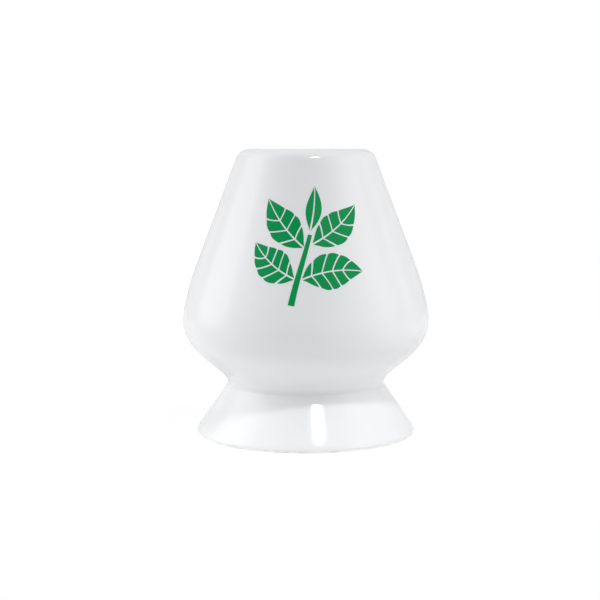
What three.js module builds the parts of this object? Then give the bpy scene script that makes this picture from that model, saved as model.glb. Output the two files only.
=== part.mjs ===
// A porcelain stand for a bamboo tea whisk. The wet whisk is set upside down on it: its inner tines
// go into the mouth, its outer tines spread over the bulb, and both dry in their curled shape.
// It is a hollow bulb and a hollow flared foot, cast apart, joined at the neck with clay slip,
// glazed, and fired standing on a ring of bare porcelain. Air passes right through the stand.
// Millimetres, +Z up, with the origin in the middle of the face that the stand rests on.
import * as THREE from "three";

// Whole stand.
const OVERALL_HEIGHT = 70;
const WALL = 3.8;
const FACETS = 72;

// Bulb, as radii and heights of its outside.
const RIM_RADIUS = 16.3;
const SHOULDER_RADIUS = 25.8;
const SHOULDER_HEIGHT = 45;
const BELLY_RADIUS = 30.45;
const BELLY_HEIGHT = 28;
const NECK_RADIUS = 19.5;
const NECK_HEIGHT = 12.5;
const COVE_REACH = 2.6;
const COVE_RISE = 3.4;
const UNDERSIDE_LEAN_DEGREES = 50.6;

// Flared foot, as radii and heights of its outside.
const CREASE_REACH = 0.16;
const CREASE_DROP = 0.42;
const FLARE_TOP_LEAN_DEGREES = 27.8;
const FLARE_END_LEAN_DEGREES = 30.9;
const HEM_RADIUS = 27;
const HEM_ROUND_REACH = 0.5;
const HEM_ROUND_RISE = 1.2;

// Seam of clay slip between the two castings.
const SEAM_THICKNESS = 0.4;
const SEAM_BEAD = 0.3;

// Ring of bare porcelain that the stand rests on.
const RING_HEIGHT = 0.5;
const RING_INSET = 0.3;
const RING_EDGE = 0.15;

// How far the curves' handles reach, as shares of the straight distance between their ends.
const COVE_HANDLE_SHARES = [0.29, 0.12];
const BELLY_HANDLE_SHARES = [0.4, 0.36];
const SHOULDER_HANDLE_SHARES = [0.27, 0.29];
const CREASE_HANDLE_SHARES = [0.4, 0.3];
const FLARE_HANDLE_SHARES = [0.41, 0.38];
const HEM_HANDLE_SHARES = [0.3, 0.3];
const LIP_CREST_SHARE = 0.61;

// Straight pieces that make up each curve.
const COVE_STEPS = 5;
const BELLY_STEPS = 8;
const SHOULDER_STEPS = 6;
const LIP_STEPS = 6;
const CREASE_STEPS = 3;
const FLARE_STEPS = 4;
const HEM_STEPS = 4;
const BEAD_STEPS = 4;
const EDGE_STEPS = 2;

const at = (radius, height) => new THREE.Vector2(radius, height);
const UP = at(0, 1);

// The direction that leans out from straight up by an angle.
function leaningOut(degrees) {
  const angle = THREE.MathUtils.degToRad(degrees);
  return at(Math.sin(angle), Math.cos(angle));
}

// A curve that leaves one point along a direction and arrives at another along a second one.
function sweep(start, startAlong, end, endAlong, handleShares) {
  const reach = start.distanceTo(end);
  const leave = start.clone().addScaledVector(startAlong, reach * handleShares[0]);
  const arrive = end.clone().addScaledVector(endAlong, -reach * handleShares[1]);
  return new THREE.CubicBezierCurve(start, leave, arrive, end);
}

// Points along a chain of curves, each cut into its own number of steps. With a depth, the points
// lie that far to the left of the curve, which is inside the clay for an outline that runs upwards.
function trace(chain, depth = 0) {
  const points = [];
  for (const [index, { curve, steps }] of chain.entries()) {
    for (let step = index === 0 ? 0 : 1; step <= steps; step++) {
      const along = curve.getTangent(step / steps);
      const left = at(-along.y, along.x);
      points.push(curve.getPoint(step / steps).addScaledVector(left, depth));
    }
  }
  return points;
}

// The arc that rounds a corner, touching both of its sides at the same distance from it.
function roundedCorner(before, corner, after, setback, steps) {
  const toBefore = before.clone().sub(corner).normalize();
  const toAfter = after.clone().sub(corner).normalize();
  const halfAngle = Math.acos(THREE.MathUtils.clamp(toBefore.dot(toAfter), -1, 1)) / 2;
  const radius = setback * Math.tan(halfAngle);
  const bisector = toBefore.clone().add(toAfter).normalize();
  const centre = corner.clone().addScaledVector(bisector, setback / Math.cos(halfAngle));
  const first = corner.clone().addScaledVector(toBefore, setback).sub(centre);
  const last = corner.clone().addScaledVector(toAfter, setback).sub(centre);
  let turn = last.angle() - first.angle();
  if (turn > Math.PI) turn -= 2 * Math.PI;
  if (turn < -Math.PI) turn += 2 * Math.PI;
  const points = [];
  for (let step = 0; step <= steps; step++) {
    const angle = first.angle() + (turn * step) / steps;
    points.push(at(Math.cos(angle), Math.sin(angle)).multiplyScalar(radius).add(centre));
  }
  return points;
}

// A closed section turned round the vertical axis.
function turned(name, section, material) {
  const closed = [...section, section[0].clone()];
  const geometry = new THREE.LatheGeometry(closed, FACETS).rotateX(Math.PI / 2);
  const mesh = new THREE.Mesh(geometry, material);
  mesh.name = name;
  return mesh;
}

const glazedPorcelain = new THREE.MeshStandardMaterial({
  color: 0xeff1f3,
  roughness: 0.08,
  metalness: 0,
});
const barePorcelain = new THREE.MeshStandardMaterial({
  color: 0xe7e2d8,
  roughness: 0.85,
  metalness: 0,
});

// The bulb: a cove above the neck, a full low belly, a long straight flank and a thick round lip.
function makeBulb() {
  const neck = at(NECK_RADIUS, NECK_HEIGHT + SEAM_THICKNESS / 2);
  const coveEnd = at(NECK_RADIUS + COVE_REACH, neck.y + COVE_RISE);
  const belly = at(BELLY_RADIUS, BELLY_HEIGHT);
  const shoulder = at(SHOULDER_RADIUS, SHOULDER_HEIGHT);
  const rim = at(RIM_RADIUS, OVERALL_HEIGHT);
  const underside = leaningOut(UNDERSIDE_LEAN_DEGREES);
  const flank = rim.clone().sub(shoulder).normalize();
  const cove = sweep(neck, UP, coveEnd, underside, COVE_HANDLE_SHARES);
  const lowBelly = sweep(coveEnd, underside, belly, UP, BELLY_HANDLE_SHARES);
  const highBelly = sweep(belly, UP, shoulder, flank, SHOULDER_HANDLE_SHARES);
  const outline = [
    { curve: cove, steps: COVE_STEPS },
    { curve: lowBelly, steps: BELLY_STEPS },
    { curve: highBelly, steps: SHOULDER_STEPS },
  ];

  // The lip's two arcs meet at its crest, and together take the whole width of the wall.
  const lipWidth = WALL / flank.y;
  const outerSetback = lipWidth * LIP_CREST_SHARE;
  const innerRim = at(RIM_RADIUS - lipWidth, OVERALL_HEIGHT);
  const innerFlank = innerRim.clone().sub(flank);
  const outerLip = roundedCorner(shoulder, rim, innerRim, outerSetback, LIP_STEPS);
  const innerLip = roundedCorner(rim, innerRim, innerFlank, lipWidth - outerSetback, LIP_STEPS);

  const outside = trace(outline);
  const inside = trace(outline, WALL).reverse();
  const section = [...outside, ...outerLip, ...innerLip.slice(1), ...inside];
  return turned("bulb", section, glazedPorcelain);
}

// The outline of the foot, from the hem up to the neck, on the outside of the clay.
function footOutline() {
  const neck = at(NECK_RADIUS, NECK_HEIGHT - SEAM_THICKNESS / 2);
  const creaseEnd = at(NECK_RADIUS + CREASE_REACH, neck.y - CREASE_DROP);
  const hem = at(HEM_RADIUS, RING_HEIGHT);
  const flareEnd = at(HEM_RADIUS - HEM_ROUND_REACH, RING_HEIGHT + HEM_ROUND_RISE);
  const flareTopUp = leaningOut(-FLARE_TOP_LEAN_DEGREES);
  const flareEndUp = leaningOut(-FLARE_END_LEAN_DEGREES);
  const hemRound = sweep(hem, UP, flareEnd, flareEndUp, HEM_HANDLE_SHARES);
  const flare = sweep(flareEnd, flareEndUp, creaseEnd, flareTopUp, FLARE_HANDLE_SHARES);
  const crease = sweep(creaseEnd, flareTopUp, neck, UP, CREASE_HANDLE_SHARES);
  return {
    hemRound: [{ curve: hemRound, steps: HEM_STEPS }],
    flare: [
      { curve: flare, steps: FLARE_STEPS },
      { curve: crease, steps: CREASE_STEPS },
    ],
  };
}

// The inside of the foot runs a wall's thickness inside the flare, straight on to the bottom edge.
function footInside() {
  const { flare } = footOutline();
  const inside = trace(flare, WALL);
  const above = inside.filter((point) => point.y > RING_HEIGHT);
  const [low, next] = above;
  const along = low.clone().sub(next);
  const bottom = low.clone().addScaledVector(along, (RING_HEIGHT - low.y) / along.y);
  return [bottom, ...above];
}

// The foot: a hollow cone that flares to a rounded hem, open below.
function makeFoot() {
  const { hemRound, flare } = footOutline();
  const outside = [...trace(hemRound), ...trace(flare).slice(1)];
  const section = [...outside, ...footInside().reverse()];
  return turned("foot", section, glazedPorcelain);
}

// The slip that joins bulb and foot: flush outside, with a low bead of squeezed-out slip inside.
function makeSeam() {
  const halfThickness = SEAM_THICKNESS / 2;
  const innerRadius = NECK_RADIUS - WALL;
  const fromTop = Math.PI / 2;
  const toBottom = fromTop + Math.PI;
  const bead = new THREE.EllipseCurve(
    innerRadius,
    NECK_HEIGHT,
    SEAM_BEAD,
    halfThickness,
    fromTop,
    toBottom,
  );
  const section = [
    at(NECK_RADIUS, NECK_HEIGHT - halfThickness),
    at(NECK_RADIUS, NECK_HEIGHT + halfThickness),
    ...bead.getPoints(BEAD_STEPS),
  ];
  return turned("neck_seam", section, glazedPorcelain);
}

// The ring that was wiped clean of glaze. It is set back from the glaze on both sides of the wall.
function makeStandingRing() {
  const outer = HEM_RADIUS - RING_INSET;
  const inner = footInside()[0].x + RING_INSET;
  const outerTop = at(outer, RING_HEIGHT);
  const outerCorner = at(outer, 0);
  const innerCorner = at(inner, 0);
  const innerTop = at(inner, RING_HEIGHT);
  const section = [
    ...roundedCorner(innerTop, innerCorner, outerCorner, RING_EDGE, EDGE_STEPS),
    ...roundedCorner(innerCorner, outerCorner, outerTop, RING_EDGE, EDGE_STEPS),
    outerTop,
    innerTop,
  ];
  return turned("standing_ring", section, barePorcelain);
}

const whiskHolder = new THREE.Group();
whiskHolder.add(makeStandingRing(), makeFoot(), makeSeam(), makeBulb());

export default whiskHolder;
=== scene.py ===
"""A porcelain stand for a bamboo tea whisk, laid out as a Blender add-on.

The stand is a hollow bulb on a hollow flared foot. Both are turned about the vertical axis, cast
apart, joined at the neck with slip, glazed all over, and fired standing on a bare ring. A sprig of
tea leaves is printed on the front. Each piece has an operator of its own, and so has the studio.
"""

import math

import bpy
from bpy.props import FloatProperty, FloatVectorProperty, IntProperty, PointerProperty
from bpy.types import Operator, Panel, PropertyGroup
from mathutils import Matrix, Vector


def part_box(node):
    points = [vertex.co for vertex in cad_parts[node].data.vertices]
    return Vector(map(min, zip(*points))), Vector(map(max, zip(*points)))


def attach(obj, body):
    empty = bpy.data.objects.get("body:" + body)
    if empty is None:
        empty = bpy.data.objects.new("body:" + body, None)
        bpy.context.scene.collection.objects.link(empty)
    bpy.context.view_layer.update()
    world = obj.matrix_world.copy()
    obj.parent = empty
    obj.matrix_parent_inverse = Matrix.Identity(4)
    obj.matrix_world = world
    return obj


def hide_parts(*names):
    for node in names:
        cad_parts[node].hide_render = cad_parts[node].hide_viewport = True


bl_info = {
    "name": "Porcelain Whisk Stand",
    "version": (1, 0, 0),
    "blender": (4, 5, 0),
    "location": "View3D > Sidebar > Whisk Stand",
    "description": "Makes a glazed porcelain stand for a bamboo tea whisk, and a studio round it",
    "category": "Add Mesh",
}

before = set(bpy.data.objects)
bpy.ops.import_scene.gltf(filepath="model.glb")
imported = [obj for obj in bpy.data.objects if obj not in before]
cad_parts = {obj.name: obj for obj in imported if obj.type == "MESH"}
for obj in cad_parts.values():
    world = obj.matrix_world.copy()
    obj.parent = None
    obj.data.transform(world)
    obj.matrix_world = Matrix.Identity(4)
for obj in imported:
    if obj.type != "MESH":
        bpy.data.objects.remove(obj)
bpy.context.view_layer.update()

MM = 0.001
BODY = "root"

# Corners of the boxes of the solids that the fine pieces stand for.
BULB_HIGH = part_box("bulb")[1]
FOOT_LOW, FOOT_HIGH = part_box("foot")
SEAM_LOW, SEAM_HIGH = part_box("neck_seam")
RING_LOW, RING_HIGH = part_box("standing_ring")


def linear(hex_colour):
    """A colour written as sRGB hex, as the linear values that Blender works in."""
    channels = (int(hex_colour[place : place + 2], 16) / 255 for place in (1, 3, 5))
    return tuple(c / 12.92 if c <= 0.04045 else ((c + 0.055) / 1.055) ** 2.4 for c in channels)


def length(name, description, default):
    """A size that the user can change."""
    return FloatProperty(
        name=name,
        description=description,
        default=default,
        min=0,
        precision=5,
        subtype="DISTANCE",
        unit="LENGTH",
    )


def angle(name, description, degrees):
    """An angle that the user can change."""
    return FloatProperty(
        name=name,
        description=description,
        default=math.radians(degrees),
        subtype="ANGLE",
        unit="ROTATION",
    )


def colour(name, description, hex_colour):
    """A colour that the user can change."""
    return FloatVectorProperty(
        name=name,
        description=description,
        default=linear(hex_colour),
        size=3,
        min=0,
        max=1,
        subtype="COLOR",
    )


def amount(name, description, default):
    """A plain number that the user can change."""
    return FloatProperty(name=name, description=description, default=default, min=0, subtype="FACTOR")


class StandSizes(PropertyGroup):
    """Sizes of the stand, as radii and heights of its outside."""

    wall: length("Wall", "Thickness of the clay", 3.8 * MM)
    height: length("Height", "Height of the rim", BULB_HIGH.z)
    rim_radius: length("Rim radius", "Where the flank's line meets the height of the rim", 16.3 * MM)
    lip_crest: amount("Lip crest", "Share of the lip's width that is outside its crest", 0.61)
    shoulder_radius: length("Shoulder radius", "Where the straight flank begins", 25.8 * MM)
    shoulder_height: length("Shoulder height", "Where the straight flank begins", 45 * MM)
    belly_radius: length("Belly radius", "Widest radius of the bulb", BULB_HIGH.x)
    belly_height: length("Belly height", "Height of the widest place", 28 * MM)
    cove_reach: length("Cove reach", "How far the cove above the neck reaches out", 2.6 * MM)
    cove_rise: length("Cove rise", "How far the cove above the neck rises", 3.4 * MM)
    underside_lean: angle("Underside lean", "Lean of the bulb's underside from upright", 50.6)
    neck_radius: length("Neck radius", "Radius of the seam at the neck", SEAM_HIGH.x)
    crease_reach: length("Crease reach", "How far the rounding below the neck reaches out", 0.16 * MM)
    crease_drop: length("Crease drop", "How far the rounding below the neck drops", 0.42 * MM)
    flare_top_lean: angle("Flare top lean", "Lean of the foot below the neck", 32.6)
    flare_end_lean: angle("Flare end lean", "Lean of the foot above the hem", 33.2)
    hem_radius: length("Hem radius", "Widest radius of the foot", FOOT_HIGH.x)
    hem_round_reach: length("Hem round reach", "How far the hem's rounding reaches in", 0.5 * MM)
    hem_round_rise: length("Hem round rise", "How far the hem's rounding rises", 1.2 * MM)
    hem_edge: length("Hem edge", "Radius of the glaze's rolled edge under the hem", 0.12 * MM)
    ring_inset: length("Ring inset", "How far the bare ring is set back from the glaze", 0.12 * MM)
    ring_edge: length("Ring edge", "Rounding of the bare ring's rubbed edges", 0.08 * MM)
    seam_bead: length("Seam bead", "How far the slip stands out inside the neck", 0.3 * MM)
    segments: IntProperty(
        name="Segments",
        description="Faces round the stand",
        default=240,
        min=24,
        max=360,
    )


class StandFinishes(PropertyGroup):
    """Colours of the stand's finishes and of the table."""

    clay: colour("Glazed clay", "Porcelain under its clear glaze", "#F3F4F5")
    clay_cloud: colour("Clouded clay", "Porcelain where the glaze lies thicker", "#F0F1F3")
    pooled_glaze: colour("Pooled glaze", "Glaze that has run together in the crease", "#E6EAEC")
    bare: colour("Bare clay", "Porcelain that was wiped clean of glaze", "#F8F8F7")
    rubbed: colour("Rubbed clay", "Bare porcelain where it is rubbed", "#EDEDEB")
    print_thin: colour("Thin print", "Green enamel where it is thinnest", "#009B56")
    print_thick: colour("Thick print", "Green enamel where it is thickest", "#008F4D")
    table: colour("Table", "Top of the table", "#F8F8F8")


class PrintSizes(PropertyGroup):
    """Sizes of the printed sprig, measured on the glaze."""

    height: length("Height", "Height of the print's middle above the table", 48 * MM)
    aim: angle("Aim", "Turn of the print's middle from the front", 1.3)
    lean: angle("Lean", "Lean of the flank that carries the print", 20.8)
    film: length("Film", "How far the enamel stands above the glaze", 0.03 * MM)
    sink: length("Sink", "How far the enamel reaches into the glaze", 0.02 * MM)
    rib_gap: length("Rib gap", "Width of the bare line along a leaf's middle", 0.45 * MM)
    vein_gap: length("Vein gap", "Width of the bare line along a side vein", 0.34 * MM)


class StudioSizes(PropertyGroup):
    """Sizes and places of the table and the camera."""

    camera_distance: length("Camera distance", "From the stand's axis to the camera", 331.5 * MM)
    camera_sideways: length("Camera sideways", "How far the camera stands left of the axis", 1.46 * MM)
    camera_dip: angle("Camera dip", "How far the camera looks down", 6.415)
    camera_lens: FloatProperty(
        name="Camera lens",
        description="Focal length in millimetres on a 36 mm sensor",
        default=80.6,
        min=1,
        subtype="DISTANCE_CAMERA",
        unit="CAMERA",
    )
    table_front: length("Table front", "From the stand's axis to the table's front edge", 85 * MM)
    table_side: length("Table side", "From the stand's axis to the table's other edges", 600 * MM)


# The stand's sections

# How far the curves' handles reach, as shares of the straight distance between their ends.
COVE_HANDLE_SHARES = (0.29, 0.12)
BELLY_HANDLE_SHARES = (0.4, 0.36)
SHOULDER_HANDLE_SHARES = (0.27, 0.29)
CREASE_HANDLE_SHARES = (0.4, 0.3)
FLARE_HANDLE_SHARES = (0.41, 0.38)
HEM_HANDLE_SHARES = (0.1, 0.55)

# Straight pieces that make up each curve.
COVE_STEPS = 20
BELLY_STEPS = 44
SHOULDER_STEPS = 44
FLANK_STEPS = 24
LIP_STEPS = 20
CREASE_STEPS = 8
FLARE_STEPS = 30
HEM_STEPS = 12
EDGE_STEPS = 5
BEAD_STEPS = 10

UP = Vector((0, 1))


def leaning_out(lean):
    """The direction in a section that leans out from upright by an angle."""
    return Vector((math.sin(lean), math.cos(lean)))


class Curve:
    """A curve that leaves one point along a direction and arrives at another along a second one.

    Its steps are the straight pieces that a trace cuts it into.
    """

    def __init__(self, start, start_along, end, end_along, handle_shares, steps=1):
        reach = (end - start).length
        leave = start + start_along * reach * handle_shares[0]
        arrive = end - end_along * reach * handle_shares[1]
        self.corners = (start, leave, arrive, end)
        self.steps = steps

    def at(self, share):
        """The point at a share of the way along, and the direction there."""
        a, b, c, d = self.corners
        rest = 1 - share
        point = a * rest**3 + b * 3 * rest**2 * share + c * 3 * rest * share**2 + d * share**3
        along = (b - a) * rest**2 + (c - b) * 2 * rest * share + (d - c) * share**2
        return point, along.normalized()


def trace(chain, depth=0):
    """Points along a chain of curves. With a depth, they lie that far to the left, inside the clay."""
    points = []
    for curve in chain:
        for step in range(1 if points else 0, curve.steps + 1):
            point, along = curve.at(step / curve.steps)
            points.append(point + Vector((-along.y, along.x)) * depth)
    return points


def straight(start, end, steps):
    """Points on the straight line between two points, without its ends."""
    return [start.lerp(end, step / steps) for step in range(1, steps)]


def rounded_corner(before, corner, after, setback, steps):
    """The arc that rounds a corner, touching both of its sides at the same distance from it."""
    to_before = (before - corner).normalized()
    to_after = (after - corner).normalized()
    half_angle = to_before.angle(to_after) / 2
    radius = setback * math.tan(half_angle)
    centre = corner + (to_before + to_after).normalized() * (setback / math.cos(half_angle))
    first = corner + to_before * setback - centre
    last = corner + to_after * setback - centre
    start = math.atan2(first.y, first.x)
    turn = math.remainder(math.atan2(last.y, last.x) - start, 2 * math.pi)
    angles = [start + turn * step / steps for step in range(steps + 1)]
    return [centre + Vector((math.cos(a), math.sin(a))) * radius for a in angles]


def bulb_section(sizes):
    """The bulb: a cove above the neck, a full low belly, a long straight flank and a thick lip."""
    neck = Vector((sizes.neck_radius, SEAM_HIGH.z))
    cove_end = neck + Vector((sizes.cove_reach, sizes.cove_rise))
    belly = Vector((sizes.belly_radius, sizes.belly_height))
    shoulder = Vector((sizes.shoulder_radius, sizes.shoulder_height))
    rim = Vector((sizes.rim_radius, sizes.height))
    underside = leaning_out(sizes.underside_lean)
    flank = (rim - shoulder).normalized()
    outline = [
        Curve(neck, UP, cove_end, underside, COVE_HANDLE_SHARES, COVE_STEPS),
        Curve(cove_end, underside, belly, UP, BELLY_HANDLE_SHARES, BELLY_STEPS),
        Curve(belly, UP, shoulder, flank, SHOULDER_HANDLE_SHARES, SHOULDER_STEPS),
    ]
    lip_width = sizes.wall / flank.y
    outer_setback = lip_width * sizes.lip_crest
    inner_rim = rim - Vector((lip_width, 0))
    inner_flank = inner_rim - flank
    outer_lip = rounded_corner(shoulder, rim, inner_rim, outer_setback, LIP_STEPS)
    inner_lip = rounded_corner(rim, inner_rim, inner_flank, lip_width - outer_setback, LIP_STEPS)
    outside = trace(outline)
    inside = trace(outline, sizes.wall)[::-1]
    return [
        *outside,
        *straight(outside[-1], outer_lip[0], FLANK_STEPS),
        *outer_lip,
        *inner_lip[1:],
        *straight(inner_lip[-1], inside[0], FLANK_STEPS),
        *inside,
    ]


def flare_outline(sizes):
    """The foot's outline from the hem up to the neck: the hem's rounding, and the flare above it."""
    neck = Vector((sizes.neck_radius, SEAM_LOW.z))
    crease_end = neck + Vector((sizes.crease_reach, -sizes.crease_drop))
    hem = Vector((sizes.hem_radius, FOOT_LOW.z + sizes.hem_edge))
    flare_end = Vector((sizes.hem_radius - sizes.hem_round_reach, FOOT_LOW.z + sizes.hem_round_rise))
    top_up = leaning_out(-sizes.flare_top_lean)
    end_up = leaning_out(-sizes.flare_end_lean)
    hem_round = [Curve(hem, UP, flare_end, end_up, HEM_HANDLE_SHARES, HEM_STEPS)]
    flare = [
        Curve(flare_end, end_up, crease_end, top_up, FLARE_HANDLE_SHARES, FLARE_STEPS),
        Curve(crease_end, top_up, neck, UP, CREASE_HANDLE_SHARES, CREASE_STEPS),
    ]
    return hem_round, flare


def foot_inside(sizes):
    """The inside of the foot, which runs straight on from the flare to the bottom edge."""
    _, flare = flare_outline(sizes)
    above = [point for point in trace(flare, sizes.wall) if point.y > FOOT_LOW.z]
    along = above[0] - above[1]
    bottom = above[0] + along * ((FOOT_LOW.z - above[0].y) / along.y)
    return [bottom, *above]


def foot_section(sizes):
    """The foot: a hollow cone that flares to a rounded hem, open below."""
    hem_round, flare = flare_outline(sizes)
    outside = [*trace(hem_round), *trace(flare)[1:]]
    inside = foot_inside(sizes)
    bottom_out = Vector((sizes.hem_radius, FOOT_LOW.z))
    edge = rounded_corner(inside[0], bottom_out, outside[0], sizes.hem_edge, EDGE_STEPS)
    return [*edge, *outside[1:], *inside[::-1]]


def seam_section(sizes):
    """The slip at the neck: flush outside, with a low bead inside."""
    middle = (SEAM_LOW.z + SEAM_HIGH.z) / 2
    half = (SEAM_HIGH.z - SEAM_LOW.z) / 2
    inner_radius = sizes.neck_radius - sizes.wall
    section = [Vector((sizes.neck_radius, SEAM_LOW.z)), Vector((sizes.neck_radius, SEAM_HIGH.z))]
    for step in range(BEAD_STEPS + 1):
        turn = math.pi * step / BEAD_STEPS
        radius = inner_radius - sizes.seam_bead * math.sin(turn)
        section.append(Vector((radius, middle + half * math.cos(turn))))
    return section


def ring_section(sizes):
    """The bare ring that carries the stand, set back from the glaze on both sides of the wall."""
    outer = sizes.hem_radius - sizes.ring_inset
    inner = foot_inside(sizes)[0].x + sizes.ring_inset
    outer_top = Vector((outer, RING_HIGH.z))
    outer_corner = Vector((outer, RING_LOW.z))
    inner_corner = Vector((inner, RING_LOW.z))
    inner_top = Vector((inner, RING_HIGH.z))
    return [
        *rounded_corner(inner_top, inner_corner, outer_corner, sizes.ring_edge, EDGE_STEPS),
        *rounded_corner(inner_corner, outer_corner, outer_top, sizes.ring_edge, EDGE_STEPS),
        outer_top,
        inner_top,
    ]


# Node trees

# Corners of a piece that are closer than this are one corner.
WELD = 0.0005 * MM
# Faces that meet at a sharper angle than this are shaded apart.
SHARP_ANGLE = math.radians(32)


def add(tree, kind, inputs=None, **settings):
    """Adds a node with its settings. Its inputs are set to values, or linked to sockets or nodes."""
    node = tree.nodes.new(kind)
    for name, value in settings.items():
        setattr(node, name, value)
    for key, value in (inputs or {}).items():
        if isinstance(value, bpy.types.Node):
            value = value.outputs[0]
        if isinstance(value, bpy.types.NodeSocket):
            tree.links.new(value, node.inputs[key])
        else:
            node.inputs[key].default_value = value
    return node


def new_tree(name, sockets):
    """A Geometry Nodes tree that takes and gives a geometry, with named inputs for its sizes."""
    tree = bpy.data.node_groups.new(name, "GeometryNodeTree")
    tree.interface.new_socket("Geometry", in_out="OUTPUT", socket_type="NodeSocketGeometry")
    tree.interface.new_socket("Geometry", in_out="INPUT", socket_type="NodeSocketGeometry")
    for socket_name, socket_type in sockets:
        tree.interface.new_socket(socket_name, in_out="INPUT", socket_type=socket_type)
    return tree


def finish_tree(tree, given, mesh):
    """Ends a tree: smooth faces with sharp corners kept, real geometry and one material."""
    corner = add(tree, "GeometryNodeInputMeshEdgeAngle")
    smooth = add(tree, "GeometryNodeSetShadeSmooth", {"Geometry": mesh}, domain="FACE")
    is_smooth = add(
        tree,
        "FunctionNodeCompare",
        {0: corner.outputs["Unsigned Angle"], 1: given.outputs["Sharp Angle"]},
        operation="LESS_THAN",
    )
    creased = add(
        tree,
        "GeometryNodeSetShadeSmooth",
        {"Geometry": smooth, "Shade Smooth": is_smooth},
        domain="EDGE",
    )
    real = add(tree, "GeometryNodeRealizeInstances", {"Geometry": creased})
    painted = add(
        tree,
        "GeometryNodeSetMaterial",
        {"Geometry": real, "Material": given.outputs["Finish"]},
    )
    add(tree, "NodeGroupOutput", {0: painted})


def turning_tree():
    """Turns a closed section, drawn as radius and height, round the upright axis."""
    tree = new_tree(
        "Turned on the wheel",
        (
            ("Wheel Radius", "NodeSocketFloat"),
            ("Segments", "NodeSocketInt"),
            ("Sharp Angle", "NodeSocketFloat"),
            ("Finish", "NodeSocketMaterial"),
        ),
    )
    given = add(tree, "NodeGroupInput")
    section = add(tree, "GeometryNodeMeshToCurve", {"Mesh": given.outputs["Geometry"]})
    wheel_radius = given.outputs["Wheel Radius"]
    inwards = add(tree, "ShaderNodeMath", {0: wheel_radius, 1: -1.0}, operation="MULTIPLY")
    to_wheel = add(tree, "ShaderNodeCombineXYZ", {"X": inwards})
    placed = add(
        tree,
        "GeometryNodeTransform",
        {"Geometry": section, "Translation": to_wheel, "Scale": (1, -1, 1)},
    )
    wheel = add(
        tree,
        "GeometryNodeCurvePrimitiveCircle",
        {"Resolution": given.outputs["Segments"], "Radius": wheel_radius},
        mode="RADIUS",
    )
    turned = add(
        tree,
        "GeometryNodeCurveToMesh",
        {"Curve": wheel.outputs["Curve"], "Profile Curve": placed},
    )
    outwards = add(tree, "GeometryNodeFlipFaces", {"Mesh": turned})
    finish_tree(tree, given, outwards)
    return tree


def wrapping_tree():
    """Wraps a flat drawing round the glaze, by arc length across and by height up, as a thin film."""
    tree = new_tree(
        "Print wrapped on the glaze",
        (
            ("Glaze", "NodeSocketObject"),
            ("Height", "NodeSocketFloat"),
            ("Aim", "NodeSocketFloat"),
            ("Lean", "NodeSocketFloat"),
            ("Film", "NodeSocketFloat"),
            ("Sink", "NodeSocketFloat"),
            ("Reach", "NodeSocketFloat"),
            ("Sharp Angle", "NodeSocketFloat"),
            ("Finish", "NodeSocketMaterial"),
        ),
    )
    given = add(tree, "NodeGroupInput")
    drawn = add(tree, "GeometryNodeInputPosition")
    across, up, _ = add(tree, "ShaderNodeSeparateXYZ", {0: drawn}).outputs
    upright = add(tree, "ShaderNodeMath", {0: given.outputs["Lean"]}, operation="COSINE")
    rise = add(tree, "ShaderNodeMath", {0: up, 1: upright}, operation="MULTIPLY")
    height = add(tree, "ShaderNodeMath", {0: rise, 1: given.outputs["Height"]}, operation="ADD")

    # A ray from in front of the stand meets the glaze at each point's height.
    reach = given.outputs["Reach"]
    in_front = add(tree, "ShaderNodeMath", {0: reach, 1: -1.0}, operation="MULTIPLY")
    start = add(tree, "ShaderNodeCombineXYZ", {"Y": in_front, "Z": height})
    glaze = add(
        tree,
        "GeometryNodeObjectInfo",
        {"Object": given.outputs["Glaze"]},
        transform_space="RELATIVE",
    )
    ray = add(
        tree,
        "GeometryNodeRaycast",
        {
            "Target Geometry": glaze.outputs["Geometry"],
            "Source Position": start,
            "Ray Direction": (0, 1, 0),
            "Ray Length": reach,
        },
    )
    met = add(tree, "ShaderNodeSeparateXYZ", {0: ray.outputs["Hit Position"]})

    # The point then goes round the axis, as far as the drawing says, and a little into the glaze.
    depth = met.outputs["Y"]
    arc = add(tree, "ShaderNodeMath", {0: across, 1: depth}, operation="DIVIDE")
    turn = add(tree, "ShaderNodeMath", {0: given.outputs["Aim"], 1: arc}, operation="SUBTRACT")
    sunk = add(tree, "ShaderNodeMath", {0: depth, 1: given.outputs["Sink"]}, operation="ADD")
    under = add(tree, "ShaderNodeCombineXYZ", {"Y": sunk, "Z": met.outputs["Z"]})
    laid_point = add(
        tree,
        "ShaderNodeVectorRotate",
        {"Vector": under, "Angle": turn},
        rotation_type="Z_AXIS",
    )
    laid = add(
        tree,
        "GeometryNodeSetPosition",
        {"Geometry": given.outputs["Geometry"], "Position": laid_point},
    )

    # The laid faces are raised into a film, and turned-over copies of them close it below.
    sink_and_film = {0: given.outputs["Film"], 1: given.outputs["Sink"]}
    thickness = add(tree, "ShaderNodeMath", sink_and_film, operation="ADD")
    raised = add(
        tree,
        "GeometryNodeExtrudeMesh",
        {"Mesh": laid, "Offset Scale": thickness, "Individual": False},
        mode="FACES",
    )
    underside = add(tree, "GeometryNodeFlipFaces", {"Mesh": laid})
    both = add(tree, "GeometryNodeJoinGeometry")
    for layer in (raised, underside):
        tree.links.new(layer.outputs[0], both.inputs[0])
    film = add(tree, "GeometryNodeMergeByDistance", {"Geometry": both, "Distance": WELD})
    finish_tree(tree, given, film)
    return tree


def outline_mesh(name, section):
    """A section as a closed ring of edges, drawn as radius and height."""
    mesh = bpy.data.meshes.new(name)
    count = len(section)
    edges = [(corner, (corner + 1) % count) for corner in range(count)]
    mesh.from_pydata([(point.x, point.y, 0) for point in section], edges, [])
    return mesh


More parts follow.
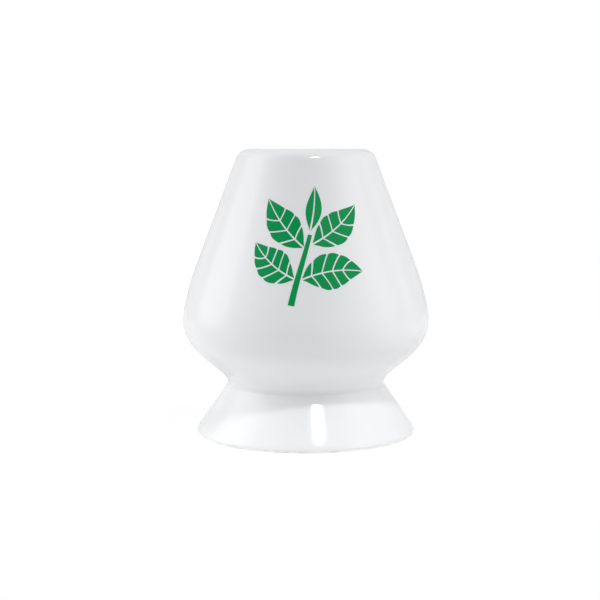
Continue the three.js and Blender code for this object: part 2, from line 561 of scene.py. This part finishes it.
def made_with(tree, name, mesh, inputs):
    """The object that a tree makes from a mesh, as a plain mesh without its modifier."""
    draft = bpy.data.objects.new(name + "_draft", mesh)
    bpy.context.scene.collection.objects.link(draft)
    modifier = draft.modifiers.new(tree.name, "NODES")
    modifier.node_group = tree
    sockets = {item.name: item.identifier for item in tree.interface.items_tree}
    for socket_name, value in inputs.items():
        modifier[sockets[socket_name]] = value
    evaluated = draft.evaluated_get(bpy.context.evaluated_depsgraph_get())
    final = bpy.data.meshes.new_from_object(evaluated)
    final.name = name
    bpy.data.objects.remove(draft)
    if not final.polygons:
        raise RuntimeError(f"{name} came out empty")
    piece = bpy.data.objects.new(name, final)
    bpy.context.scene.collection.objects.link(piece)
    return piece


def turned_piece(name, section, finish, node, segments):
    """A turned piece that stands for a solid."""
    piece = made_with(
        turning_tree(),
        name,
        outline_mesh(name, section),
        {
            "Wheel Radius": max(point.x for point in section),
            "Segments": segments,
            "Sharp Angle": SHARP_ANGLE,
            "Finish": finish,
        },
    )
    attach(piece, BODY)
    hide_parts(node)
    return piece


# The printed sprig

# Leaves, as the stalk's end, the tip, the bow of the rib in degrees, the half width, and where the
# side veins leave the rib. Millimetres on the glaze, from the middle of the print.
OLD_LEAF_VEINS = (0.15, 0.32, 0.49, 0.66)
YOUNG_LEAF_VEINS = (0.19, 0.39, 0.59)
SPRIG_LEAVES = (
    ((-3.5, -7.9), (-12.7, 0.6), 17.7, 4.0, OLD_LEAF_VEINS),
    ((-1.5, -8.0), (12.9, -6.4), 17.2, 4.2, OLD_LEAF_VEINS),
    ((-1.25, -0.4), (-9.45, 11.3), 12.4, 3.75, YOUNG_LEAF_VEINS),
    ((1.0, 0.45), (11.4, 9.7), -13.5, 3.75, YOUNG_LEAF_VEINS),
    ((0.35, 3.6), (1.5, 14.4), -6.8, 1.75, ()),
)
# Below 1, a leaf is broadest nearer its stalk.
LEAF_FULLNESS = 0.86
# Least width of a leaf beside its rib, at the tip.
TIP_WIDTH = 0.05 * MM
# Share of its width that the bare line along a rib loses by the tip.
RIB_THINNING = 0.5
# How far a side vein runs on towards the tip by the time it is at the edge, as a share of the rib.
VEIN_SLANT = 0.13
# How quickly that slant sets in from either end of the leaf.
SLANT_GROWTH = 4
# How far a leaf's edge bulges between two side veins, as a share of its width.
SCALLOP_SHARE = 0.05

# The stalk's ends, its leans at them in degrees, and its widths at them. Millimetres, as the leaves.
STALK_ENDS = ((-4.2, -14.3), (0.3, 2.6))
STALK_LEANS = (12, 14)
STALK_WIDTHS = (1.5, 0.9)

# How far the handles of the ribs and of the stalk reach.
DRAWN_HANDLE_SHARES = (0.35, 0.35)

# Length of the small faces that follow the glaze.
PATCH_STEP = 0.35 * MM
# Faces from a leaf's rib out to its edge, and the fewest from one side vein to the next.
PATCH_COLUMNS = 8
LEAST_PATCH_ROWS = 4


def on_print(place):
    """A place of the drawing, in metres."""
    return Vector(place) * MM


def turned_by(direction, degrees):
    """A direction of the drawing, turned to the left."""
    turn = math.radians(degrees)
    across = Vector((-direction.y, direction.x))
    return direction * math.cos(turn) + across * math.sin(turn)


def leaf_point(rib, half_width, side, rib_gap, along, out, scallop):
    """The point of a leaf that lies along its rib by one share, and out to its edge by another."""
    slant = VEIN_SLANT * min(1, SLANT_GROWTH * along, SLANT_GROWTH * (1 - along))
    share = along + slant * out
    point, direction = rib.at(share)
    edge = half_width * math.sin(math.pi * min(share, 1) ** LEAF_FULLNESS) * (1 + scallop * out)
    inner = rib_gap / 2 * (1 - RIB_THINNING * share)
    reach = inner + out * max(edge - inner, TIP_WIDTH)
    return point + Vector((-direction.y, direction.x)) * side * reach


def leaf_patches(leaf, sizes):
    """The patches of one leaf between its rib, its side veins and its edge, as grids of points."""
    stalk_end, tip, bow, half_width, veins = leaf
    start = on_print(stalk_end)
    end = on_print(tip)
    chord = (end - start).normalized()
    rib = Curve(start, turned_by(chord, bow), end, turned_by(chord, -bow), DRAWN_HANDLE_SHARES)
    reach = (end - start).length
    margin = sizes.vein_gap / 2 / reach
    starts = [0, *(vein + margin for vein in veins)]
    ends = [*(vein - margin for vein in veins), 1]
    patches = []
    for side in (1, -1):
        for low, high in zip(starts, ends):
            rows = max(LEAST_PATCH_ROWS, round((high - low) * reach / PATCH_STEP))
            columns = range(PATCH_COLUMNS + 1)[::side]
            patches.append([
                [
                    leaf_point(
                        rib,
                        half_width * MM,
                        side,
                        sizes.rib_gap,
                        low + (high - low) * row / rows,
                        column / PATCH_COLUMNS,
                        SCALLOP_SHARE * math.sin(math.pi * row / rows),
                    )
                    for column in columns
                ]
                for row in range(rows + 1)
            ])
    return patches


def stalk_patch():
    """The stalk, which thins towards the bud, as one grid of points."""
    start, end = (on_print(place) for place in STALK_ENDS)
    leans = [leaning_out(math.radians(lean)) for lean in STALK_LEANS]
    steps = round((end - start).length / PATCH_STEP)
    stalk = Curve(start, leans[0], end, leans[1], DRAWN_HANDLE_SHARES)
    patch = []
    for step in range(steps + 1):
        share = step / steps
        point, direction = stalk.at(share)
        half = (STALK_WIDTHS[0] * (1 - share) + STALK_WIDTHS[1] * share) / 2 * MM
        left = Vector((-direction.y, direction.x)) * half
        patch.append([point - left, point, point + left])
    return patch


def sprig_mesh(sizes):
    """The flat drawing of the sprig: a stalk, four leaves and a bud."""
    patches = [stalk_patch()]
    for leaf in SPRIG_LEAVES:
        patches.extend(leaf_patches(leaf, sizes))
    corners = []
    faces = []
    for patch in patches:
        width = len(patch[0])
        first = len(corners)
        corners.extend((point.x, point.y, 0) for row in patch for point in row)
        for row in range(len(patch) - 1):
            for column in range(width - 1):
                low = first + row * width + column
                faces.append((low, low + width, low + width + 1, low + 1))
    mesh = bpy.data.meshes.new("sprig")
    mesh.from_pydata(corners, [], faces)
    return mesh


# Finishes

# How far light goes into the clay under the glaze.
LIGHT_DEPTH = 0.8 * MM
# How far from the seam the glaze has run together in the crease, and how much of its colour shows.
POOL_REACH = 1.4 * MM
POOL_SHARE = 0.2
# Clouds in the glaze, where it is a little thicker.
CLOUD_WIDTH = 20 * MM
# Slow waves in the glaze, and lower and finer orange peel on them.
WAVE_LENGTH = 9 * MM
WAVE_BUMP = 0.012 * MM
PEEL_WIDTH = 1.6 * MM
PEEL_BUMP = 0.001 * MM

# Grain of the bare clay. The real one is about 0.05 mm, too fine to show, so it is drawn coarser.
GRAIN_WIDTH = 0.25 * MM
GRAIN_BUMP = 0.02 * MM
# Places where the table has rubbed the bare clay, and the values of their pattern at which the
# rubbing starts to show and is full.
RUB_WIDTH = 2.5 * MM
RUB_STARTS = 0.48
RUB_FULL = 0.66

# Places where the enamel went on thicker.
COAT_WIDTH = 3 * MM
# Threads of the printing screen, about 5 a millimetre.
THREAD_WIDTH = 0.2 * MM
THREAD_BUMP = 0.003 * MM

# Sockets of a node that mixes two colours.
SHARE_IN, FIRST_IN, SECOND_IN, MIXED_OUT = 0, 6, 7, 2

# Share of the plain white that gloss shows in place of the light that is really there.
WHITE_IN_GLOSS = 0.25
# Share of the table's look that comes from the light on it, and shows the stand's shadow.
SHADOW_SHOWN = 0.2
# Brightness of the rest of its look, a little over white to make up for the light it lacks far out.
TABLE_SHOWN = 1.08


def new_material(name, inputs):
    """A material with one surface shader, and the place on the piece that its patterns read."""
    material = bpy.data.materials.new(name)
    material.use_nodes = True
    tree = material.node_tree
    tree.nodes.clear()
    shader = add(tree, "ShaderNodeBsdfPrincipled", inputs)
    add(tree, "ShaderNodeOutputMaterial", {"Surface": shader.outputs[0]})
    place = add(tree, "ShaderNodeTexCoord").outputs["Object"]
    return material, tree, shader, place


def colour_of(values):
    """A colour as a node's socket takes it."""
    return (*values, 1)


def glazed_porcelain(name, finishes):
    """White porcelain under a clear glaze, dipped and fired to a bright gloss.

    The eye gets sharp reflections, a soft depth under them, a cooler line where the glaze has run
    together in the crease at the neck, and a faint waviness, as of orange peel, in the highlights.
    """
    material, tree, shader, place = new_material(
        name,
        {
            "Roughness": 0.13,
            "IOR": 1.5,
            "Subsurface Weight": 0.15,
            "Subsurface Radius": (1.0, 0.9, 0.8),
            "Subsurface Scale": LIGHT_DEPTH,
        },
    )
    height = add(tree, "ShaderNodeSeparateXYZ", {0: place}).outputs["Z"]
    seam = (SEAM_LOW.z + SEAM_HIGH.z) / 2
    above_seam = add(tree, "ShaderNodeMath", {0: height, 1: seam}, operation="SUBTRACT")
    from_seam = add(tree, "ShaderNodeMath", {0: above_seam}, operation="ABSOLUTE")
    pooled = add(
        tree,
        "ShaderNodeMapRange",
        {
            "Value": from_seam,
            "From Min": 0.0,
            "From Max": POOL_REACH,
            "To Min": POOL_SHARE,
            "To Max": 0.0,
        },
        interpolation_type="SMOOTHSTEP",
    )
    clouds = add(
        tree,
        "ShaderNodeTexNoise",
        {"Vector": place, "Scale": 1 / CLOUD_WIDTH, "Detail": 2.0},
    )
    body = add(
        tree,
        "ShaderNodeMix",
        {
            SHARE_IN: clouds,
            FIRST_IN: colour_of(finishes.clay),
            SECOND_IN: colour_of(finishes.clay_cloud),
        },
        data_type="RGBA",
    )
    glazed = add(
        tree,
        "ShaderNodeMix",
        {
            SHARE_IN: pooled,
            FIRST_IN: body.outputs[MIXED_OUT],
            SECOND_IN: colour_of(finishes.pooled_glaze),
        },
        data_type="RGBA",
    )
    tree.links.new(glazed.outputs[MIXED_OUT], shader.inputs["Base Color"])
    waves = add(
        tree,
        "ShaderNodeTexNoise",
        {"Vector": place, "Scale": 1 / WAVE_LENGTH, "Detail": 1.0},
    )
    peel = add(
        tree,
        "ShaderNodeTexNoise",
        {"Vector": place, "Scale": 1 / PEEL_WIDTH, "Detail": 1.0},
    )
    wavy = add(tree, "ShaderNodeBump", {"Height": waves, "Distance": WAVE_BUMP})
    peeled = add(
        tree,
        "ShaderNodeBump",
        {"Height": peel, "Distance": PEEL_BUMP, "Normal": wavy},
    )
    tree.links.new(peeled.outputs[0], shader.inputs["Normal"])
    return material


def bare_porcelain(name, finishes):
    """Porcelain that was wiped clean of glaze, fired to a hard matt biscuit and rubbed by the table.

    The eye gets a dull, slightly warm and grainy line under the gloss, greyer where it is rubbed.
    """
    material, tree, shader, place = new_material(name, {"Roughness": 0.85, "IOR": 1.5})
    grain = add(
        tree,
        "ShaderNodeTexNoise",
        {"Vector": place, "Scale": 1 / GRAIN_WIDTH, "Detail": 3.0},
    )
    rubs = add(
        tree,
        "ShaderNodeTexNoise",
        {"Vector": place, "Scale": 1 / RUB_WIDTH, "Detail": 4.0},
    )
    rubbed = add(
        tree,
        "ShaderNodeMapRange",
        {"Value": rubs, "From Min": RUB_STARTS, "From Max": RUB_FULL},
        interpolation_type="SMOOTHSTEP",
    )
    body = add(
        tree,
        "ShaderNodeMix",
        {
            SHARE_IN: rubbed,
            FIRST_IN: colour_of(finishes.bare),
            SECOND_IN: colour_of(finishes.rubbed),
        },
        data_type="RGBA",
    )
    tree.links.new(body.outputs[MIXED_OUT], shader.inputs["Base Color"])
    grainy = add(tree, "ShaderNodeBump", {"Height": grain, "Distance": GRAIN_BUMP})
    tree.links.new(grainy.outputs[0], shader.inputs["Normal"])
    return material


def printed_enamel(name, finishes):
    """Green enamel, screen printed and fired onto the glaze.

    The eye gets one flat deep green, less glossy than the glaze, a little uneven where the enamel
    went on thicker, with the fine tooth of the screen.
    """
    material, tree, shader, place = new_material(
        name,
        {"Roughness": 0.4, "IOR": 1.5, "Specular IOR Level": 0.12},
    )
    coat = add(
        tree,
        "ShaderNodeTexNoise",
        {"Vector": place, "Scale": 1 / COAT_WIDTH, "Detail": 3.0},
    )
    body = add(
        tree,
        "ShaderNodeMix",
        {
            SHARE_IN: coat,
            FIRST_IN: colour_of(finishes.print_thin),
            SECOND_IN: colour_of(finishes.print_thick),
        },
        data_type="RGBA",
    )
    tree.links.new(body.outputs[MIXED_OUT], shader.inputs["Base Color"])
    tooth = add(tree, "ShaderNodeTexNoise", {"Vector": place, "Scale": 1 / THREAD_WIDTH})
    toothed = add(tree, "ShaderNodeBump", {"Height": tooth, "Distance": THREAD_BUMP})
    tree.links.new(toothed.outputs[0], shader.inputs["Normal"])
    return material


def plainly_seen(tree):
    """How much of plain white a ray sees: all of it from the camera and through glass, some in gloss."""
    ray = add(tree, "ShaderNodeLightPath")
    straight = {0: ray.outputs["Is Camera Ray"], 1: ray.outputs["Is Transmission Ray"]}
    looked_at = add(tree, "ShaderNodeMath", straight, operation="MAXIMUM")
    mirrored = {0: ray.outputs["Is Glossy Ray"], 1: WHITE_IN_GLOSS}
    in_gloss = add(tree, "ShaderNodeMath", mirrored, operation="MULTIPLY")
    return add(tree, "ShaderNodeMath", {0: looked_at, 1: in_gloss}, operation="MAXIMUM")


def white_table(name, finishes):
    """A table top of matt white card.

    The eye gets plain white with the stand's soft shadow on it. Inside the standing ring, where the
    table shows through the mouth, it is seen just as it is lit.
    """
    material = bpy.data.materials.new(name)
    material.use_nodes = True
    tree = material.node_tree
    tree.nodes.clear()
    board = add(tree, "ShaderNodeBsdfDiffuse", {"Color": colour_of(finishes.table)})
    shown = add(tree, "ShaderNodeEmission", {"Strength": TABLE_SHOWN})
    seen = add(tree, "ShaderNodeMixShader", {0: SHADOW_SHOWN, 1: shown, 2: board})
    place = add(tree, "ShaderNodeTexCoord").outputs["Object"]
    from_axis = add(tree, "ShaderNodeVectorMath", {0: place}, operation="LENGTH").outputs["Value"]
    outside = add(tree, "ShaderNodeMath", {0: from_axis, 1: RING_HIGH.x}, operation="GREATER_THAN")
    both = {0: plainly_seen(tree), 1: outside}
    looked_at = add(tree, "ShaderNodeMath", both, operation="MULTIPLY")
    either = add(tree, "ShaderNodeMixShader", {0: looked_at, 1: board, 2: seen})
    add(tree, "ShaderNodeOutputMaterial", {"Surface": either})
    return material


GLAZED = "Porcelain, glazed"
BARE = "Porcelain, bare and rubbed"
ENAMEL = "Enamel, screen printed"
TABLE = "Table, matt white"
FINISH_MAKERS = {
    GLAZED: glazed_porcelain,
    BARE: bare_porcelain,
    ENAMEL: printed_enamel,
    TABLE: white_table,
}


def finish_of(name, context):
    """A finish, made when it is first asked for."""
    made = bpy.data.materials.get(name)
    return made or FINISH_MAKERS[name](name, context.scene.whisk_stand_finishes)


# The studio

# Softboxes round the table: name, turn to the right of the camera and height above the horizon in
# degrees, distance, width and height in metres, and brightness.
SOFTBOXES = (
    ("Key softbox", 20, 55.5, 0.9, 0.14, 0.075, 56.0),
    ("Left wall of light", -98, 20, 0.9, 0.62, 1.04, 0.73),
    ("Right wall of light", 78, 15, 0.9, 0.38, 0.95, 0.53),
    ("Right strip", 113, 15, 0.9, 0.20, 0.95, 0.28),
)

# White cards that stand low beside the stand and throw light up at it, written as the softboxes are.
# They only fill in, so the glaze doesn't mirror them.
CARDS = (
    ("Left card", -62, -7, 0.171, 0.20, 0.05, 1.2),
    ("Right card", 62, -7, 0.171, 0.20, 0.05, 0.4),
)

# Rings of soft patches of light on the white tent: height above the horizon in degrees, how
# quickly a patch fades, and the patches' turns to the right of the camera, with their brightness.
TENT_RINGS = (
    (
        5,
        14,
        {
            -150: 0.46,
            -120: 0.38,
            -90: 0.98,
            60: 0.61,
            90: 0.28,
            150: 0.44,
            180: 0.44,
        },
    ),
    (
        30,
        14,
        {
            -150: 0.44,
            -90: 1.50,
            -60: 0.90,
            60: 1.26,
            90: 0.56,
            120: 0.33,
            150: 0.24,
        },
    ),
    (6, 30, {25: 1.15}),
    (58, 12, {-120: 0.43, -60: 0.16, 60: 0.86, 120: 0.24}),
)

# Gap under the stand, so that its ring and the table top are never one face.
TABLE_GAP = 0.01 * MM
# The camera sees nothing nearer than this.
NEAREST_SEEN = 10 * MM


def towards(turn, height):
    """The direction from the stand that is turned to the camera's right, and raised, in degrees."""
    aside = math.radians(turn)
    raised = math.radians(height)
    flat = math.cos(raised)
    return Vector((flat * math.sin(aside), -flat * math.cos(aside), math.sin(raised)))


def hang_softbox(name, turn, height, distance, width, tall, brightness):
    """A softbox that faces the stand, and that the camera doesn't see."""
    light = bpy.data.lights.new(name, "AREA")
    light.shape = "RECTANGLE"
    light.size = width
    light.size_y = tall
    # With this power its face is as bright as a surface of that brightness.
    light.energy = brightness * math.pi * width * tall
    softbox = bpy.data.objects.new(name, light)
    middle = Vector((0, 0, (BULB_HIGH.z + RING_LOW.z) / 2))
    direction = towards(turn, height)
    softbox.location = middle + direction * distance
    softbox.rotation_euler = direction.to_track_quat("Z", "Y").to_euler()
    softbox.visible_camera = False
    bpy.context.scene.collection.objects.link(softbox)
    return softbox


def light_tent(scene):
    """The world: a white tent with soft patches of light on it, plain white to the camera."""
    world = bpy.data.worlds.new("White tent")
    scene.world = world
    world.use_nodes = True
    tree = world.node_tree
    tree.nodes.clear()
    direction = add(tree, "ShaderNodeTexCoord").outputs["Generated"]
    total = 0.0
    for height, fade, patches in TENT_RINGS:
        for turn, brightness in patches.items():
            facing = add(
                tree,
                "ShaderNodeVectorMath",
                {0: direction, 1: towards(turn, height)},
                operation="DOT_PRODUCT",
            )
            beside = {0: facing.outputs["Value"], 1: float(fade), 2: -float(fade)}
            falling = add(tree, "ShaderNodeMath", beside, operation="MULTIPLY_ADD")
            fading = add(tree, "ShaderNodeMath", {0: falling}, operation="EXPONENT")
            patch = {0: fading, 1: brightness, 2: total}
            total = add(tree, "ShaderNodeMath", patch, operation="MULTIPLY_ADD")
    lit = add(tree, "ShaderNodeBackground", {"Color": (1, 1, 1, 1), "Strength": total})
    shown = add(tree, "ShaderNodeBackground", {"Color": (1, 1, 1, 1), "Strength": 1.0})
    mixed = add(tree, "ShaderNodeMixShader", {0: plainly_seen(tree), 1: lit, 2: shown})
    add(tree, "ShaderNodeOutputWorld", {"Surface": mixed})


def lay_table(studio, finish):
    """A plain table top, wider than the camera sees. The stand is near its front edge."""
    side = studio.table_side
    front = studio.table_front
    mesh = bpy.data.meshes.new("table")
    top = RING_LOW.z - TABLE_GAP
    corners = [(-side, -front, top), (side, -front, top), (side, side, top), (-side, side, top)]
    mesh.from_pydata(corners, [], [(0, 1, 2, 3)])
    mesh.materials.append(finish)
    table = bpy.data.objects.new("table", mesh)
    bpy.context.scene.collection.objects.link(table)


def place_camera(scene, studio):
    """The camera: level with the rim, in front of the print, looking a little down."""
    data = bpy.data.cameras.new("camera")
    data.lens = studio.camera_lens
    data.clip_start = NEAREST_SEEN
    camera = bpy.data.objects.new("camera", data)
    camera.location = (-studio.camera_sideways, -studio.camera_distance, BULB_HIGH.z)
    camera.rotation_euler = (math.pi / 2 - studio.camera_dip, 0, 0)
    scene.collection.objects.link(camera)
    scene.camera = camera


# Operators

# The piece that carries the print.
BULB_PIECE = "glazed_bulb"


class WHISKSTAND_OT_bulb(Operator):
    """Turn the hollow bulb that shapes the whisk"""

    bl_idname = "whisk_stand.bulb"
    bl_label = "Bulb"

    def execute(self, context):
        sizes = context.scene.whisk_stand_sizes
        turned_piece(
            BULB_PIECE,
            bulb_section(sizes),
            finish_of(GLAZED, context),
            "bulb",
            sizes.segments,
        )
        return {"FINISHED"}


class WHISKSTAND_OT_foot(Operator):
    """Turn the hollow flared foot"""

    bl_idname = "whisk_stand.foot"
    bl_label = "Foot"

    def execute(self, context):
        sizes = context.scene.whisk_stand_sizes
        turned_piece(
            "glazed_foot",
            foot_section(sizes),
            finish_of(GLAZED, context),
            "foot",
            sizes.segments,
        )
        return {"FINISHED"}


class WHISKSTAND_OT_neck(Operator):
    """Join bulb and foot with slip at the neck"""

    bl_idname = "whisk_stand.neck"
    bl_label = "Neck seam"

    def execute(self, context):
        sizes = context.scene.whisk_stand_sizes
        turned_piece(
            "glazed_neck_seam",
            seam_section(sizes),
            finish_of(GLAZED, context),
            "neck_seam",
            sizes.segments,
        )
        return {"FINISHED"}


class WHISKSTAND_OT_ring(Operator):
    """Turn the bare ring that the stand rests on"""

    bl_idname = "whisk_stand.ring"
    bl_label = "Standing ring"

    def execute(self, context):
        sizes = context.scene.whisk_stand_sizes
        turned_piece(
            "bare_standing_ring",
            ring_section(sizes),
            finish_of(BARE, context),
            "standing_ring",
            sizes.segments,
        )
        return {"FINISHED"}


class WHISKSTAND_OT_print(Operator):
    """Print the sprig of tea leaves on the front of the glaze"""

    bl_idname = "whisk_stand.print"
    bl_label = "Printed sprig"

    def execute(self, context):
        sizes = context.scene.whisk_stand_print
        piece = made_with(
            wrapping_tree(),
            "printed_sprig",
            sprig_mesh(sizes),
            {
                "Glaze": bpy.data.objects[BULB_PIECE],
                "Height": sizes.height,
                "Aim": sizes.aim,
                "Lean": sizes.lean,
                "Film": sizes.film,
                "Sink": sizes.sink,
                "Reach": 2 * BULB_HIGH.x,
                "Sharp Angle": SHARP_ANGLE,
                "Finish": finish_of(ENAMEL, context),
            },
        )
        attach(piece, BODY)
        return {"FINISHED"}


class WHISKSTAND_OT_studio(Operator):
    """Lay the table, and set up the camera and the light"""

    bl_idname = "whisk_stand.studio"
    bl_label = "Studio"

    def execute(self, context):
        studio = context.scene.whisk_stand_studio
        lay_table(studio, finish_of(TABLE, context))
        place_camera(context.scene, studio)
        light_tent(context.scene)
        for softbox in SOFTBOXES:
            hang_softbox(*softbox)
        for card in CARDS:
            hang_softbox(*card).visible_glossy = False
        context.scene.view_settings.view_transform = "Standard"
        return {"FINISHED"}


class WHISKSTAND_PT_panel(Panel):
    """Sizes, colours and makers of the whisk stand"""

    bl_idname = "WHISKSTAND_PT_panel"
    bl_label = "Porcelain Whisk Stand"
    bl_space_type = "VIEW_3D"
    bl_region_type = "UI"
    bl_category = "Whisk Stand"

    def draw(self, context):
        for title, group, operators in SECTIONS:
            box = self.layout.box()
            box.label(text=title)
            settings = getattr(context.scene, group)
            for name in settings.bl_rna.properties.keys():
                if name not in ("rna_type", "name"):
                    box.prop(settings, name)
            for operator in operators:
                box.operator(operator.bl_idname)


STAND_OPERATORS = (
    WHISKSTAND_OT_bulb,
    WHISKSTAND_OT_foot,
    WHISKSTAND_OT_neck,
    WHISKSTAND_OT_ring,
)
SECTIONS = (
    ("Stand", "whisk_stand_sizes", STAND_OPERATORS),
    ("Finishes", "whisk_stand_finishes", ()),
    ("Print", "whisk_stand_print", (WHISKSTAND_OT_print,)),
    ("Studio", "whisk_stand_studio", (WHISKSTAND_OT_studio,)),
)
SETTINGS = {
    "whisk_stand_sizes": StandSizes,
    "whisk_stand_finishes": StandFinishes,
    "whisk_stand_print": PrintSizes,
    "whisk_stand_studio": StudioSizes,
}
OPERATORS = (*STAND_OPERATORS, WHISKSTAND_OT_print, WHISKSTAND_OT_studio)
CLASSES = (*SETTINGS.values(), *OPERATORS, WHISKSTAND_PT_panel)


def register():
    """Registers the classes, and gives every scene its settings."""
    for kind in CLASSES:
        bpy.utils.register_class(kind)
    for name, group in SETTINGS.items():
        setattr(bpy.types.Scene, name, PointerProperty(type=group))


def unregister():
    """Takes the settings and the classes away again."""
    for name in SETTINGS:
        delattr(bpy.types.Scene, name)
    for kind in reversed(CLASSES):
        bpy.utils.unregister_class(kind)


def main():
    """Makes every piece and the studio."""
    register()
    bpy.ops.whisk_stand.bulb()
    bpy.ops.whisk_stand.foot()
    bpy.ops.whisk_stand.neck()
    bpy.ops.whisk_stand.ring()
    bpy.ops.whisk_stand.print()
    bpy.ops.whisk_stand.studio()


if __name__ == "__main__":
    main()
